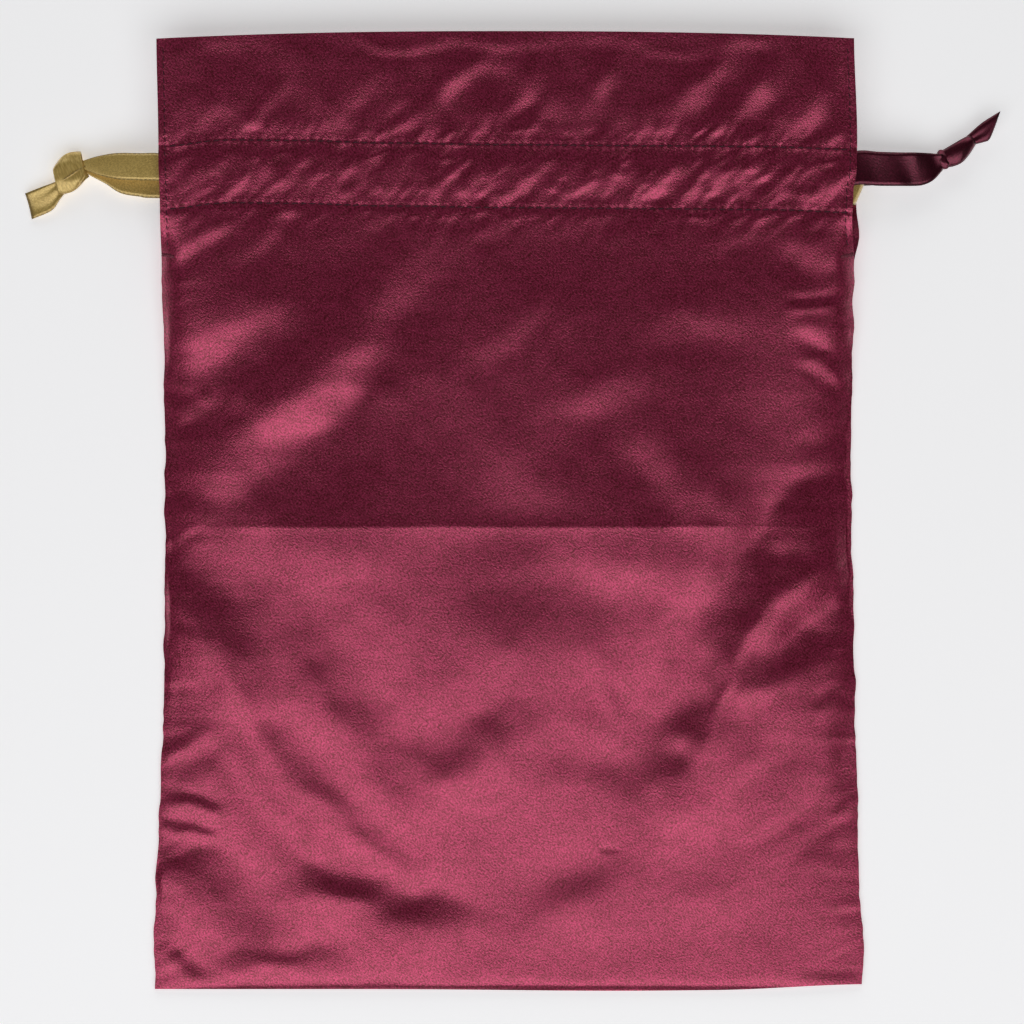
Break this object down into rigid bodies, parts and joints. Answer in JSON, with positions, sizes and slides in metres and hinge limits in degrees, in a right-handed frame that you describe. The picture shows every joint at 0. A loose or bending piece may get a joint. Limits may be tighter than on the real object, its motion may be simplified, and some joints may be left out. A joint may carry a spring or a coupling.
{
  "type": "drawstring gift sack",
  "caption": "Flat satin gift sack with a frilled mouth, a stitched drawstring casing and knotted ribbon pulls at the sides.",
  "frame": {"origin": "middle of the sack's footprint, on the surface it lies on", "axes": "+X across the sack towards the burgundy pull, +Y up the sack towards its mouth, +Z out of the front panel"},
  "size_m": [0.2819, 0.2765, 0.0099],
  "materials": {
    "satin": "burgundy satin weave with a soft sheen",
    "satin_inside": "dull back of the burgundy satin",
    "thread": "dark polyester sewing thread",
    "gold_ribbon": "gold satin ribbon with woven edges",
    "burgundy_ribbon": "dark burgundy satin ribbon with woven edges"
  },
  "bodies": {
    "sack": {"front_panel": "satin", "back_panel": "satin", "front_facing": "satin_inside", "back_facing": "satin_inside", "bottom_seam_allowance": "satin_inside", "bottom_seam_thread": "thread", "front_upper_stitching": "thread", "front_lower_stitching": "thread", "back_upper_stitching": "thread", "back_lower_stitching": "thread"},
    "left_side": {"left_seam_allowance": "satin_inside", "left_seam_thread": "thread", "front_left_slit_hem": "satin_inside", "back_left_slit_hem": "satin_inside", "front_left_slit_stitching": "thread", "back_left_slit_stitching": "thread", "left_bar_tack": "thread"},
    "right_side": {"right_seam_allowance": "satin_inside", "right_seam_thread": "thread", "front_right_slit_hem": "satin_inside", "back_right_slit_hem": "satin_inside", "front_right_slit_stitching": "thread", "back_right_slit_stitching": "thread", "right_bar_tack": "thread"},
    "gold_pull": {"gold_ribbon": "gold_ribbon", "gold_knot": "gold_ribbon"},
    "burgundy_pull": {"burgundy_ribbon": "burgundy_ribbon", "burgundy_knot": "burgundy_ribbon"}
  },
  "joints": [
    {"name": "gold_pull_slide", "type": "slide", "parent": "sack", "child": "gold_pull", "axis": [-1, 0, 0], "range_m": [0, 0.032]},
    {"name": "burgundy_pull_slide", "type": "slide", "parent": "sack", "child": "burgundy_pull", "axis": [1, 0, 0], "range_m": [0, 0.032]},
    {"name": "left_gather", "type": "hinge", "parent": "sack", "child": "left_side", "pos_m": [-0.1, -0.1375, 0], "axis": [0, 0, -1], "range_deg": [0, 7.8], "deforming": ["front_panel", "back_panel", "front_facing", "back_facing", "front_upper_stitching", "front_lower_stitching", "back_upper_stitching", "back_lower_stitching"]},
    {"name": "right_gather", "type": "hinge", "parent": "sack", "child": "right_side", "pos_m": [0.1, -0.1375, 0], "axis": [0, 0, 1], "range_deg": [0, 7.8], "deforming": ["front_panel", "back_panel", "front_facing", "back_facing", "front_upper_stitching", "front_lower_stitching", "back_upper_stitching", "back_lower_stitching"]}
  ],
  "couplings": [
    {"joint": "burgundy_pull_slide", "follows": "gold_pull_slide", "ratio": 1},
    {"joint": "left_gather", "follows": "gold_pull_slide", "rad_per_m": 4.225},
    {"joint": "right_gather", "follows": "gold_pull_slide", "rad_per_m": 4.225}
  ]
}
